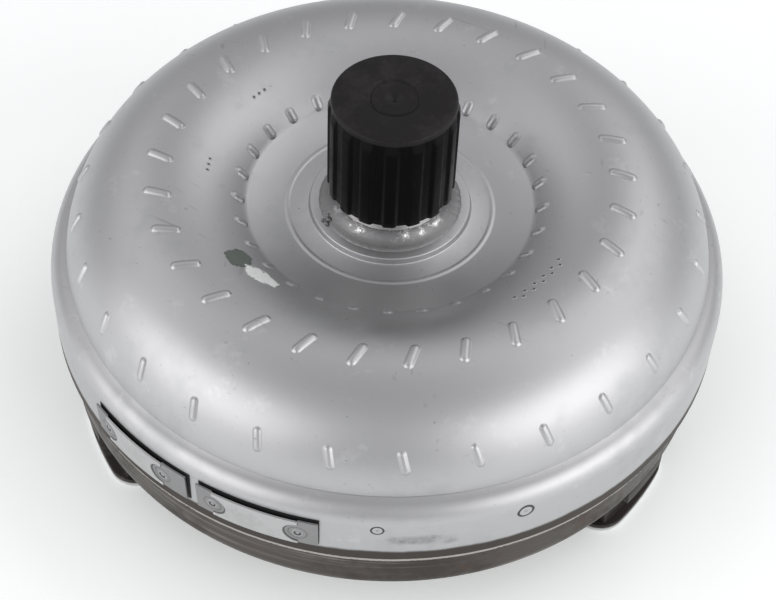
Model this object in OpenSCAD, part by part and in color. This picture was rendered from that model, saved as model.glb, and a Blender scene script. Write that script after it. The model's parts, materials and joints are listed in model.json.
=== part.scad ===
// Torque converter with lock-up clutch, standing on its drive-plate lugs.
// +Z is the axis of rotation and points to the gearbox; z = 0 is the face of the three lugs.

/* [Casing] */
// Outer diameter of the rim wall
casing_d = 290; // [288:0.5:296]
// Thickness of the pressed impeller shell
shell_t = 3.2; // [2.8:0.1:3.4]
// Thickness of the front cover
cover_t = 4.5; // [4:0.1:4.8]
// Height of the flat underside of the front cover
cover_z = 16; // [15.8:0.1:16.2]
// Height of the bright rim wall's top, where the shoulder starts
shoulder_z = 73.6; // [73:0.1:74]

/* [Fluid circuit] */
// Radius of the circle that the torus section turns about
torus_r = 97; // [96.8:0.1:97.2]
// Radius of the outer half of the impeller's section
torus_rho = 41; // [40.8:0.1:41.2]
// Height of the middle of the impeller's section
torus_z = 78; // [77.8:0.1:78.2]
// Number of impeller blades
impeller_blade_count = 29; // [25:1:31]
// Number of turbine blades
turbine_blade_count = 31; // [27:1:33]
// Number of stator blades
stator_blade_count = 17; // [13:1:19]

/* [Hub] */
// Outer diameter of the pump-drive neck
neck_d = 47.6; // [47:0.1:47.8]
// Bore of the neck
neck_bore_d = 39; // [38:0.1:39.4]
// Height of the end of the neck
neck_end_z = 152; // [146:0.5:154]
// Width of each drive notch
notch_w = 10; // [8:0.5:12]
// Depth of each drive notch
notch_depth = 9; // [7:0.5:10]

/* [Drive-plate lugs] */
// Diameter of the circle that the lug holes lie on
lug_pcd = 248; // [246:0.5:250]
// Tapping diameter of the lug nuts
lug_hole_d = 8.5; // [8:0.1:10.5]
// Outer radius of the lug feet
lug_foot_r = 138.3; // [137.5:0.1:139]
// Angle of the first lug round the axis
lug_turn = -33.5; // [-40:0.5:-28]

/* [Shipping cap] */
// Height of the top of the cap
cap_top_z = 162.9; // [161.5:0.1:165]
// Number of grip ribs on the cap
cap_rib_count = 16; // [12:1:20]

/* [Hidden] */

$fn = 96;
far = 400;                 // larger than the whole part, for half planes

// rim and shoulder
rim_r = casing_d / 2;
wall_t = 3.5;
wall_foot_z = 51;
crease_z = shoulder_z + 9;
shoulder_rho = 9.225;      // a quarter round from the crease out to the rim wall
joint_gap = 0.2;
cover_r = rim_r - wall_t - joint_gap;
cover_corner_rho = 8.5;
cover_corner_z = cover_z + 15.3;
cover_top_z = 62;
cover_flat_r = 117;
spigot_r = 14;
nut_r = 9.4;
nut_h = 15;

// torus section of the impeller: a tighter arc outside the crest, a wider one inside it
crest_z = torus_z + torus_rho;
inner_rho = torus_rho + 6.6;
inner_arc_z = crest_z - inner_rho;
annulus_r = 60.9;
valley_r = 44;
valley_z = 100.5;
collar_r = 34.1;
collar_z = 104;
collar_under_z = 99.6;

// turbine section mirrors the impeller's across the gap between the blade edges
turbine_z = 74;
turbine_rho = 37;
turbine_t = 2;
core_rho = 16;
core_t = 1;
flange_z = 47;
blade_t = 1;

// hub, bearings and clutch
neck_r = neck_d / 2;
neck_bore_r = neck_bore_d / 2;
bush_t = 1.6;
bush_z = 128;
bush_len = 16;
hub_flange_r = 36;
hub_flange_t = 4.6;
turbine_hub_r = 20;
turbine_bore_r = 13.6;
piston_bore_r = turbine_hub_r + 0.06;
stator_z0 = 58;
stator_z1 = 90;
clutch_bore_r = 42;
roller_count = 10;
roller_r = 3.4;
roller_path_r = 31.05;
rivet_count = 8;
rivet_path_r = 34;
rivet_r = 2.2;
rivet_hole_r = 2.3;
rivet_head_r = 3.8;
rivet_head_h = 1.5;
turbine_hub_flange_t = 4;
damper_plate_t = 2.5;
spring_count = 6;
spring_path_r = 108.5;
spring_z = 33;
spring_rho = 4.3;
spring_wire_r = 0.65;
spring_span = 38;
piston_z = 23.7;
bearing_h = 4.4;

// ---- helpers ----

module spin() {
    rotate_extrude($fn = 180) children();
}

// A ring section between two radii round a point of the half plane
module arc_band(r, z, outer, inner) {
    translate([r, z]) difference() {
        circle(r = outer, $fn = 180);
        circle(r = inner, $fn = 180);
    }
}

// Points on an arc of the half plane
function arc(centre, r, from, to, steps) =
    [for (i = [0 : steps]) let (a = from + (to - from) * i / steps) centre + r * [cos(a), sin(a)]];

module box2(r0, r1, z0, z1) {
    translate([r0, z0]) square([r1 - r0, z1 - z0]);
}

module tube(r_out, r_in, z0, z1) {
    translate([0, 0, z0]) difference() {
        cylinder(r = r_out, h = z1 - z0, $fn = 128);
        translate([0, 0, -1]) cylinder(r = r_in, h = z1 - z0 + 2, $fn = 128);
    }
}

module around(count, start = 0) {
    for (i = [0 : count - 1]) rotate([0, 0, start + i * 360 / count]) children();
}

function polar(r, angle) = [r * cos(angle), r * sin(angle)];

// A wedge of the circle, centred on +X
module wedge(r, half_angle, z0, z1) {
    translate([0, 0, z0]) linear_extrude(z1 - z0)
        polygon([[0, 0], [r, -r * tan(half_angle)], [r, r * tan(half_angle)]]);
}

// Straight internal splines cut round a bore
module spline_cut(bore_r, depth, count, z0, z1) {
    translate([0, 0, z0 - 1]) cylinder(r = bore_r, h = z1 - z0 + 2, $fn = 128);
    around(count) translate([0, -PI * bore_r / count / 2, z0 - 1])
        cube([bore_r + depth, PI * bore_r / count, z1 - z0 + 2]);
}

// ---- casing ----

// The cover's corner, as points from its underside up to its wall
function cover_corner(rho) = arc([cover_r - cover_corner_rho, cover_corner_z], rho, -90, 0, 12);

function reversed(list) = [for (i = [len(list) - 1 : -1 : 0]) list[i]];

module cover_section() {
    polygon(concat(
        [[spigot_r + 0.1, cover_z], [cover_flat_r, cover_z]],
        cover_corner(cover_corner_rho),
        [[cover_r, cover_top_z], [cover_r - cover_t, cover_top_z]],
        reversed(cover_corner(cover_corner_rho - cover_t)),
        [[cover_flat_r - 1, cover_z + cover_t], [spigot_r + 0.1, cover_z + cover_t]]
    ));
}

// The whole space that the cover takes, used to trim what is welded under it
module cover_envelope() {
    spin() polygon(concat(
        [[0, cover_z], [cover_flat_r, cover_z]],
        cover_corner(cover_corner_rho),
        [[cover_r, cover_top_z], [0, cover_top_z]]
    ));
}

module front_cover() {
    color("#6b625c") spin() cover_section();
}

module pilot_boss() {
    pilot_r = 22;
    color("#8d8a86") difference() {
        union() {
            translate([0, 0, 1]) cylinder(r = pilot_r, h = cover_z - 1, $fn = 128);
            translate([0, 0, cover_z - 0.5]) cylinder(r = spigot_r, h = cover_t + 0.5, $fn = 128);
        }
        translate([0, 0, -1]) cylinder(r = 9, h = 12, $fn = 64);
    }
}

// One stamped lug: a foot with rounded outer corners, a recessed body and a lip on the cover's corner
module lug() {
    foot_t = 4;
    foot_in_r = 106;
    foot_half = 12;
    corner_r = 12;
    corner_at = lug_foot_r - corner_r;
    corner_turn = foot_half - asin(corner_r / corner_at);
    corner_end = foot_half + 90;
    foot_outline = concat(
        [for (i = [1 : 11]) polar(lug_foot_r, (i / 6 - 1) * corner_turn)],
        [for (i = [0 : 12]) polar(corner_at, corner_turn)
            + polar(corner_r, corner_turn + i / 12 * (corner_end - corner_turn))],
        [for (i = [0 : 4]) polar(foot_in_r, (1 - i / 2) * foot_half)],
        [for (i = [12 : -1 : 0]) polar(corner_at, -corner_turn)
            + polar(corner_r, -corner_turn - i / 12 * (corner_end - corner_turn))]
    );
    body_top_z = cover_corner_z - 3;
    body_r = 134.5;
    lip_r = cover_r - 1.1;
    lip_z0 = cover_corner_z - 13;
    lip_z1 = cover_corner_z - 5.5;
    lip_turn = -1.5;
    difference() {
        union() {
            linear_extrude(foot_t) polygon(foot_outline);
            intersection() {
                tube(body_r, 110, foot_t - 0.5, body_top_z);
                wedge(far, 9.5, foot_t - 0.5, body_top_z);
            }
            rotate([0, 0, lip_turn]) intersection() {
                tube(lip_r, cover_r - 9, lip_z0, lip_z1);
                wedge(far, 5.5, lip_z0, lip_z1);
            }
        }
        cover_envelope();
        translate([lug_pcd / 2, 0, -1]) cylinder(r = nut_r + 0.1, h = nut_h + 2, $fn = 64);
    }
}

module mounting_lugs() {
    color("#57504b") around(3, lug_turn) lug();
}

module lug_nuts() {
    color("#7d7974") around(3, lug_turn) translate([lug_pcd / 2, 0, 0]) difference() {
        cylinder(r = nut_r, h = nut_h, $fn = 64);
        translate([0, 0, -1]) cylinder(d = lug_hole_d, h = nut_h + 2, $fn = 48);
    }
}

module rim_weld_bead() {
    bead_rho = 3;
    color("#4c4541") spin() intersection() {
        translate([cover_r + 0.2, wall_foot_z - 1.2]) circle(r = bead_rho, $fn = 48);
        box2(cover_r, far, 0, wall_foot_z);
    }
}

// Section of the shell: out along its outer face from the hub to the rim, and back inside
module impeller_section() {
    inner_centre = [torus_r, inner_arc_z];
    outer_centre = [torus_r, torus_z];
    shoulder_centre = [rim_r - shoulder_rho, shoulder_z];
    annulus_angle = acos((annulus_r - torus_r) / inner_rho);
    crease_angle = asin((crease_z - torus_z) / torus_rho);
    hole_r = neck_r + 0.1;
    polygon(concat(
        [
            [hole_r, collar_under_z], [hole_r, collar_z], [collar_r, collar_z],
            [collar_r + 2, valley_z + 0.4], [valley_r, valley_z]
        ],
        arc(inner_centre, inner_rho, annulus_angle, 90, 16),
        arc(outer_centre, torus_rho, 86, crease_angle, 24),
        arc(shoulder_centre, shoulder_rho, 70, 0, 10),
        [[rim_r, wall_foot_z], [rim_r - wall_t, wall_foot_z]],
        arc(shoulder_centre, shoulder_rho - wall_t, 0, 70, 8),
        arc(outer_centre, torus_rho - shell_t, 4, 86, 24),
        arc(inner_centre, inner_rho - shell_t, 90, annulus_angle, 16),
        [[valley_r, valley_z - shell_t], [collar_r + 3, collar_under_z]]
    ));
}

module impeller_shell() {
    color("#a5a4a8") spin() impeller_section();
}

// Section of one impeller blade, from the core ring out to the shell
module impeller_blade_section() {
    clear = 0.2;
    difference() {
        union() {
            intersection() {
                translate([torus_r, torus_z]) circle(r = torus_rho - shell_t - clear, $fn = 180);
                box2(torus_r - 0.01, far, torus_z + 1, far);
            }
            intersection() {
                translate([torus_r, inner_arc_z]) circle(r = inner_rho - shell_t - clear, $fn = 180);
                box2(64, torus_r, torus_z + 14, far);
            }
        }
        translate([torus_r, torus_z]) circle(r = core_rho + clear, $fn = 120);
    }
}

// Thin upright plates, turned out of the radial plane about their own middle
module blade_plates(count, lean, thick) {
    around(count) translate([torus_r, 0, 0]) rotate([0, 0, lean])
        translate([-60, -thick / 2, 0]) cube([120, thick, 140]);
}

module impeller_blades() {
    color("#8f9094") intersection() {
        spin() impeller_blade_section();
        blade_plates(impeller_blade_count, 14, blade_t);
    }
}

module impeller_core_ring() {
    color("#85868a") spin() intersection() {
        arc_band(torus_r, torus_z, core_rho, core_rho - core_t);
        box2(0, far, torus_z, far);
    }
}

module impeller_hub() {
    flange_z0 = collar_under_z - hub_flange_t;
    color("#b4b2ae") difference() {
        union() {
            translate([0, 0, flange_z0]) cylinder(r = neck_r, h = neck_end_z - flange_z0, $fn = 128);
            translate([0, 0, flange_z0]) cylinder(r = hub_flange_r, h = hub_flange_t, $fn = 128);
        }
        translate([0, 0, flange_z0 - 1]) cylinder(r = neck_bore_r, h = neck_end_z - flange_z0 + 2, $fn = 128);
        translate([-neck_r - 1, -notch_w / 2, neck_end_z - notch_depth])
            cube([2 * neck_r + 2, notch_w, notch_depth + 1]);
    }
}

module hub_weld_bead() {
    bead_rho = 5.8;
    color("#c9c7c2") spin() intersection() {
        translate([neck_r + 0.4, collar_z + 0.2]) circle(r = bead_rho, $fn = 64);
        box2(neck_r, far, collar_z, far);
    }
}

module hub_bush() {
    color("#b08d57") tube(neck_bore_r - 0.02, neck_bore_r - bush_t, bush_z, bush_z + bush_len);
}

// A curved strip on the rim wall, proud in the middle and flat at its welded ends
module balance_weight(from_angle, to_angle) {
    strip_z0 = 57.6;
    strip_z1 = 73.2;
    middle = (from_angle + to_angle) / 2;
    half = abs(to_angle - from_angle) / 2;
    rotate([0, 0, middle]) union() {
        intersection() {
            tube(rim_r + 1.8, rim_r + 0.05, strip_z0, strip_z1);
            wedge(far, half, strip_z0, strip_z1);
        }
        intersection() {
            tube(rim_r + 2.6, rim_r + 0.05, strip_z0 + 0.4, strip_z1 - 0.4);
            wedge(far, half * 0.6, strip_z0, strip_z1);
        }
    }
}

module balance_weight_left() {
    color("#9c9b9f") balance_weight(-141.4, -121);
}

module balance_weight_right() {
    color("#9c9b9f") balance_weight(-119, -98.7);
}

// ---- shipping cap ----

module transport_cap() {
    rib_z0 = 114.5;
    skirt_z1 = cap_top_z - 9;
    inner_r = neck_r + 0.35;
    color("#141414") difference() {
        union() {
            translate([0, 0, rib_z0]) cylinder(r1 = inner_r + 1.9, r2 = inner_r + 1.2,
                h = skirt_z1 - rib_z0, $fn = 128);
            translate([0, 0, skirt_z1 - 0.01]) cylinder(r = inner_r + 1.2, h = cap_top_z - 0.8 - skirt_z1);
            translate([0, 0, cap_top_z - 0.82]) cylinder(r1 = inner_r + 1.2, r2 = inner_r + 0.4, h = 0.82);
            around(cap_rib_count) translate([inner_r + 0.8, -1.2, rib_z0]) rotate([0, -1, 0])
                cube([1.75, 2.4, skirt_z1 - rib_z0 - 1]);
        }
        translate([0, 0, rib_z0 - 1]) cylinder(r = inner_r, h = cap_top_z - 2 - rib_z0 + 1, $fn = 128);
        translate([0, 0, cap_top_z - 0.8]) tube(10.6, 9.8, 0, 2);
    }
}

// ---- turbine ----

module rivet_holes(radius, z0, z1) {
    around(rivet_count) translate([rivet_path_r, 0, z0 - 1]) cylinder(r = radius, h = z1 - z0 + 2, $fn = 32);
}

module turbine_shell() {
    color("#8b8c90") difference() {
        spin() {
            intersection() {
                arc_band(torus_r, turbine_z, turbine_rho, turbine_rho - turbine_t);
                union() {
                    box2(torus_r, far, 0, turbine_z);
                    box2(69, torus_r + 0.01, 0, flange_z + turbine_t);
                }
            }
            box2(turbine_hub_r + 0.1, 72, flange_z, flange_z + turbine_t);
        }
        rivet_holes(rivet_hole_r, flange_z, flange_z + turbine_t);
    }
}

module turbine_blade_section() {
    clear = 0.2;
    difference() {
        intersection() {
            translate([torus_r, turbine_z]) circle(r = turbine_rho - turbine_t - clear, $fn = 180);
            union() {
                box2(torus_r - 0.01, far, 0, turbine_z - 1);
                box2(66, torus_r, flange_z + turbine_t + clear, 60);
            }
        }
        translate([torus_r, turbine_z]) circle(r = core_rho + clear, $fn = 120);
    }
}

module turbine_blades() {
    color("#808186") intersection() {
        spin() turbine_blade_section();
        blade_plates(turbine_blade_count, -24, blade_t);
    }
}

module turbine_core_ring() {
    color("#77787c") spin() intersection() {
        arc_band(torus_r, turbine_z, core_rho, core_rho - core_t);
        box2(0, far, 0, turbine_z);
    }
}

module turbine_hub() {
    hub_z0 = cover_z + cover_t + bearing_h + 0.1;
    hub_z1 = flange_z + turbine_t + turbine_hub_flange_t;
    color("#9a9894") difference() {
        union() {
            translate([0, 0, hub_z0]) cylinder(r = turbine_hub_r, h = hub_z1 - hub_z0, $fn = 128);
            translate([0, 0, flange_z + turbine_t]) cylinder(r = 44, h = turbine_hub_flange_t, $fn = 128);
        }
        spline_cut(turbine_bore_r, 1.2, 24, hub_z0, hub_z1);
        tube(turbine_hub_r + 1, turbine_hub_r - 2, 28.4, 30.6);
        rivet_holes(rivet_hole_r, flange_z + turbine_t, hub_z1);
        around(rivet_count) translate([rivet_path_r, 0, hub_z1 - rivet_head_h])
            cylinder(r1 = rivet_hole_r, r2 = rivet_head_r + 0.1, h = rivet_head_h + 0.1, $fn = 32);
    }
}

// Domed heads below the plate, countersunk heads flush with the face that the bearing runs on
module turbine_rivets() {
    clear = 0.05;
    z0 = flange_z - damper_plate_t - rivet_head_h;
    z1 = flange_z + turbine_t + turbine_hub_flange_t - clear;
    color("#a19f9b") around(rivet_count) translate([rivet_path_r, 0, 0]) {
        translate([0, 0, z0]) cylinder(r = rivet_r, h = z1 - z0, $fn = 32);
        translate([0, 0, z0])
            cylinder(r1 = rivet_head_r - 1.2, r2 = rivet_head_r, h = rivet_head_h - clear, $fn = 32);
        translate([0, 0, z1 - rivet_head_h + clear])
            cylinder(r1 = rivet_r, r2 = rivet_head_r - 0.1, h = rivet_head_h - clear, $fn = 32);
    }
}

// Dished plate riveted to the hub, with a finger between each pair of springs
module damper_driven_plate() {
    finger_half = 180 / spring_count - spring_span / 2 - 0.4;
    color("#8a7f6a") difference() {
        union() {
            spin() {
                box2(turbine_hub_r + 0.3, 58, flange_z - damper_plate_t, flange_z);
                polygon([
                    [56, flange_z - damper_plate_t], [76, 30], [102.5, 30], [102.5, 32],
                    [77, 32], [58, flange_z - 0.5]
                ]);
            }
            around(spring_count, 180 / spring_count) intersection() {
                tube(111.6, 100, 30, 36);
                wedge(far, finger_half, 30, 36);
            }
        }
        rivet_holes(rivet_hole_r, flange_z - damper_plate_t, flange_z);
    }
}

module piston_seal() {
    color("#202020") tube(turbine_hub_r + 0.02, turbine_hub_r - 1.9, 28.5, 30.5);
}

// ---- lock-up clutch and damper ----

// Ring that carries the springs, with an outer lip and a stop between each pair
module damper_retainer() {
    stop_half = 180 / spring_count - spring_span / 2 - 0.4;
    lip_r = 116.6;
    ring_z = piston_z + 3.3;
    color("#7d7462") union() {
        tube(lip_r, 103.2, ring_z, ring_z + 1);
        tube(lip_r, lip_r - 1, ring_z, 38);
        around(spring_count, 180 / spring_count) intersection() {
            tube(lip_r - 0.5, 112.6, ring_z, 37);
            wedge(far, stop_half, ring_z, 37);
        }
    }
}

// A coil spring bent round the axis: rings of points along a helix, joined by triangles
spring_turns = 7;
spring_sides = 5;
spring_steps = spring_turns * 8;

function spring_point(step, side) =
    let (
        along = step / spring_steps,
        coil = 360 * spring_turns * along,
        turn = (along - 0.5) * (spring_span - 2.4),
        radius = spring_rho + spring_wire_r * cos(360 * side / spring_sides),
        r = spring_path_r + radius * cos(coil),
        z = spring_z + radius * sin(coil),
        shift = spring_wire_r * sin(360 * side / spring_sides)
    )
    [r * cos(turn) - shift * sin(turn), r * sin(turn) + shift * cos(turn), z];

module coil_spring() {
    points = [for (step = [0 : spring_steps], side = [0 : spring_sides - 1]) spring_point(step, side)];
    walls = [for (step = [0 : spring_steps - 1], side = [0 : spring_sides - 1], half = [0, 1])
        let (next = (side + 1) % spring_sides, low = step * spring_sides, high = low + spring_sides)
        half == 0 ? [low + side, low + next, high + next] : [low + side, high + next, high + side]];
    first_cap = [for (side = [1 : spring_sides - 2]) [0, side + 1, side]];
    last = spring_steps * spring_sides;
    last_cap = [for (side = [1 : spring_sides - 2]) [last, last + side, last + side + 1]];
    polyhedron(points, concat(walls, first_cap, last_cap), convexity = 6);
}

module damper_springs() {
    color("#5d6f86") around(spring_count) coil_spring();
}

module lockup_piston() {
    plate_t = 3;
    color("#8d8e92") spin() {
        box2(piston_bore_r, 119.2, piston_z, piston_z + plate_t);
        box2(piston_bore_r, 24, piston_z, 34);
        box2(117.2, 119.2, piston_z, 33);
    }
}

module friction_lining() {
    color("#5a4632") tube(114, 96, piston_z - 1.5, piston_z);
}

// ---- stator and one-way clutch ----

module stator_wheel() {
    color("#b9bbbe") spin() difference() {
        box2(clutch_bore_r, 58, 62, stator_z1);
        box2(0, clutch_bore_r + 1.7, stator_z1 - 3, stator_z1 - 1.4);
    }
}

module stator_blades() {
    color("#b4b6ba") intersection() {
        tube(78.05, 58.05, 66, 88);
        around(stator_blade_count) translate([68, 0, 77]) rotate([32, 0, 0])
            translate([-14, -1.1, -20]) cube([28, 2.2, 40]);
    }
}

module stator_outer_ring() {
    color("#b9bbbe") tube(79.6, 78.1, 66, 88);
}

module clutch_outer_race() {
    pocket_r = 4.1;
    color("#8c8e92") difference() {
        tube(clutch_bore_r - 0.05, 33, 64.1, 86.9);
        around(roller_count) {
            translate([roller_path_r + 0.1, 0, 60]) cylinder(r = pocket_r, h = 30, $fn = 48);
            translate([roller_path_r - 3, 0, 60]) cube([6.2, 8.4, 30]);
        }
    }
}

module clutch_rollers() {
    color("#c3c5c8") around(roller_count) translate([roller_path_r, 0, 65])
        cylinder(r = roller_r, h = 21, $fn = 48);
}

// Folded leaf spring behind each roller
module clutch_springs() {
    leaf = 0.35;
    fold = 1.1;
    color("#9aa3ad") around(roller_count) translate([roller_path_r + 2.2, 4.3, 67]) linear_extrude(17)
        polygon([
            [-2, 0], [0, fold], [-2, 2 * fold], [0, 3 * fold],
            [0, 3 * fold - leaf * 2], [-2 + leaf * 2, 2 * fold - leaf / 2], [leaf, fold], [-2, -leaf * 1.4]
        ]);
}

module clutch_inner_race() {
    race_r = 27.3;
    color("#96989c") difference() {
        translate([0, 0, 62.3]) cylinder(r = race_r, h = 25.4, $fn = 128);
        spline_cut(19.2, 1.3, 30, 62.3, 87.7);
    }
}

module clutch_retainer() {
    color("#8a8c90") spin() {
        box2(29, 47.9, stator_z0, 61.9);
        box2(33, clutch_bore_r - 0.1, 61.8, 64);
    }
}

module clutch_snap_ring() {
    color("#777a7e") difference() {
        tube(clutch_bore_r + 1.5, clutch_bore_r - 2, stator_z1 - 2.9, stator_z1 - 1.5);
        wedge(far, 4, stator_z1 - 4, stator_z1);
    }
}

// ---- thrust bearings ----

race_t = 1;
cage_t = 1.2;
needle_r = 1.05;

module race(r0, r1, z0) {
    color("#a8aaad") tube(r1, r0, z0, z0 + race_t);
}

module cage(r0, r1, z_mid, count) {
    slot = 2.6;
    color("#8e9094") difference() {
        tube(r1, r0, z_mid - cage_t / 2, z_mid + cage_t / 2);
        around(count) translate([r0 + 0.8, -slot / 2, z_mid - 2]) cube([r1 - r0 - 1.6, slot, 4]);
    }
}

module needles(r0, r1, z_mid, count) {
    color("#c9cbce") around(count) translate([r0 + 1, 0, z_mid]) rotate([0, 90, 0])
        cylinder(r = needle_r, h = r1 - r0 - 2, $fn = 24);
}

front_bearing_z = cover_z + cover_t;
front_bearing = [13.5, 19.6, 14];
middle_bearing_z = flange_z + turbine_t + turbine_hub_flange_t + 0.2;
middle_bearing = [29.5, 38, 24];
rear_bearing_z = stator_z1 + 0.3;
rear_bearing = [27, 35.5, 24];
race_gap = 3.4;
middle_cage_z = (middle_bearing_z + stator_z0 - 0.25) / 2;
rear_cage_z = rear_bearing_z + 2.2;

module front_bearing_cover_race() race(front_bearing[0], front_bearing[1], front_bearing_z + 0.05);
module front_bearing_hub_race() race(front_bearing[0], front_bearing[1], front_bearing_z + race_gap);
module front_bearing_cage()
    cage(front_bearing[0], front_bearing[1], front_bearing_z + bearing_h / 2, front_bearing[2]);
module front_bearing_needles()
    needles(front_bearing[0], front_bearing[1], front_bearing_z + bearing_h / 2, front_bearing[2]);

module middle_bearing_turbine_race() race(middle_bearing[0], middle_bearing[1], middle_bearing_z - 0.15);
module middle_bearing_stator_race() race(middle_bearing[0], middle_bearing[1], stator_z0 - race_t - 0.1);
module middle_bearing_cage()
    cage(middle_bearing[0], middle_bearing[1], middle_cage_z, middle_bearing[2]);
module middle_bearing_needles()
    needles(middle_bearing[0], middle_bearing[1], middle_cage_z, middle_bearing[2]);

module rear_bearing_stator_race() race(rear_bearing[0] + 2, rear_bearing[1], rear_bearing_z - 0.2);
module rear_bearing_hub_race() race(rear_bearing[0], rear_bearing[1], rear_bearing_z + 3.6);
module rear_bearing_cage()
    cage(rear_bearing[0], rear_bearing[1], rear_cage_z, rear_bearing[2]);
module rear_bearing_needles()
    needles(rear_bearing[0], rear_bearing[1], rear_cage_z, rear_bearing[2]);

front_cover();
pilot_boss();
mounting_lugs();
lug_nuts();
rim_weld_bead();
impeller_shell();
impeller_blades();
impeller_core_ring();
impeller_hub();
hub_weld_bead();
hub_bush();
balance_weight_left();
balance_weight_right();
transport_cap();
turbine_shell();
turbine_blades();
turbine_core_ring();
turbine_hub();
turbine_rivets();
damper_driven_plate();
piston_seal();
damper_retainer();
damper_springs();
lockup_piston();
friction_lining();
stator_wheel();
stator_blades();
stator_outer_ring();
clutch_outer_race();
clutch_rollers();
clutch_springs();
clutch_inner_race();
clutch_retainer();
clutch_snap_ring();
front_bearing_cover_race();
front_bearing_hub_race();
front_bearing_cage();
front_bearing_needles();
middle_bearing_turbine_race();
middle_bearing_stator_race();
middle_bearing_cage();
middle_bearing_needles();
rear_bearing_hub_race();
rear_bearing_stator_race();
rear_bearing_cage();
rear_bearing_needles();
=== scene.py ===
"""Torque converter on a pale floor: dimpled shell, welds, balance weights, lugs, hub and shipping cap."""

import json
import math

import bmesh
import bpy
from bpy.props import FloatProperty, FloatVectorProperty, IntProperty, PointerProperty
from mathutils import Matrix, Vector, noise


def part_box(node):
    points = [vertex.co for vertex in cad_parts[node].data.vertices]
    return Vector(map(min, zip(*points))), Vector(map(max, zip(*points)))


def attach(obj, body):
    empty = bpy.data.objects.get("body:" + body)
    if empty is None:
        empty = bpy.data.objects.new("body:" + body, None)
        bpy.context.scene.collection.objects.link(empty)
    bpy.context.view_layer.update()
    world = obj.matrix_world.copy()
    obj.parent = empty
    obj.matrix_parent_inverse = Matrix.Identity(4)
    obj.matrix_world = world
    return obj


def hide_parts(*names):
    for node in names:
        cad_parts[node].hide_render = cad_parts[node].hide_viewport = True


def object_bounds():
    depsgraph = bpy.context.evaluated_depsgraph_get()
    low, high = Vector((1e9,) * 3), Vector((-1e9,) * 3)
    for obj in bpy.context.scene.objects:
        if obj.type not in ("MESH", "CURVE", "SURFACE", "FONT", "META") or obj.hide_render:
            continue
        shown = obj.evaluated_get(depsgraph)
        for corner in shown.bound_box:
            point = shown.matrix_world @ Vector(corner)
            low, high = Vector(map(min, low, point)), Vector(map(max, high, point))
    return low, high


bl_info = {
    "name": "Torque Converter",
    "version": (1, 0, 0),
    "blender": (4, 5, 0),
    "location": "3D View > Sidebar > Converter",
    "description": "Builds the visible pieces, finishes and stage of a torque converter",
    "category": "Object",
}

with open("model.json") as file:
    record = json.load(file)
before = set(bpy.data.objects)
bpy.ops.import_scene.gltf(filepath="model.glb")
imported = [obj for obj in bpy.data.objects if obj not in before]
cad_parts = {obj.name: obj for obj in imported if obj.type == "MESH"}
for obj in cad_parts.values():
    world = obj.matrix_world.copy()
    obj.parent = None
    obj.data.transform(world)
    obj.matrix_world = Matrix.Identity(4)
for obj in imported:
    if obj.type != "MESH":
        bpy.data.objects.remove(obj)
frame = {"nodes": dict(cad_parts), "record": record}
CAD_LOW, CAD_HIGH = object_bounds()
NODES = frame["nodes"]
AXIS = Vector((0, 0, 1))
ORIGIN = Vector((0, 0, 0))

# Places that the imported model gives, in metres
RIM_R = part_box("impeller_shell")[1].x
WALL_FOOT_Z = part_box("impeller_shell")[0].z
CREST_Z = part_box("impeller_shell")[1].z
COVER_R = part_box("front_cover")[1].x
COVER_LOW_Z, COVER_TOP_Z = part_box("front_cover")[0].z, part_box("front_cover")[1].z
BEAD_LOW_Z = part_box("hub_weld_bead")[0].z
CAP_LOW_Z, CAP_TOP_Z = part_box("transport_cap")[0].z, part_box("transport_cap")[1].z
CAP_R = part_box("transport_cap")[1].x
STRIP_LOW_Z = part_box("balance_weight_left")[0].z
STRIP_TOP_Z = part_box("balance_weight_left")[1].z

# The shell's section, as in the model: a tight arc outside the crest, a wider one inside it
TORUS_R = 0.097
OUTER_RHO = 0.041
INNER_RHO = 0.0476
OUTER_Z = CREST_Z - OUTER_RHO
INNER_Z = CREST_Z - INNER_RHO
SHOULDER_Z = 0.0736
SHOULDER_RHO = 0.009225
NECK_R = 0.0238
WALL_T = 0.0035
SHELL_T = 0.0032
COVER_T = 0.0045
COVER_CORNER_RHO = 0.0085
COVER_CORNER_Z = COVER_LOW_Z + 0.0153
COVER_FLAT_R = 0.117
ANNULUS_R = 0.0609
FILM_LIFT = 0.00006

# The camera's lens in millimetres, its height above the horizon and roll in degrees, and its distance
LENS = 86.32
ELEVATION = 49.467
ROLL = 2.570
CAMERA_REACH = 0.83058
AIM_Z = 0.045


# ---------------------------------------------------------------- settings


class ConverterSizes(bpy.types.PropertyGroup):
    """Sizes that a user would change."""

    dimple_count: IntProperty(name="Dimples", description="Blade dimples in each ring", default=29, min=3)
    dimple_length: FloatProperty(
        name="Dimple Length", description="Length of a crest dimple", default=0.0128, unit="LENGTH"
    )
    dimple_width: FloatProperty(
        name="Dimple Width", description="Width of a crest dimple", default=0.0046, unit="LENGTH"
    )
    dimple_height: FloatProperty(
        name="Dimple Height", description="How far a crest dimple stands up", default=0.00115, unit="LENGTH"
    )
    dimple_lean: FloatProperty(
        name="Dimple Lean",
        description="Angle of a crest dimple out of the radial direction",
        default=math.radians(-23),
        subtype="ANGLE",
    )
    rib_count: IntProperty(name="Cap Ribs", description="Grip ribs round the cap", default=16, min=3)
    rib_height: FloatProperty(
        name="Rib Height", description="How far a rib stands out", default=0.0011, unit="LENGTH"
    )


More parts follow.
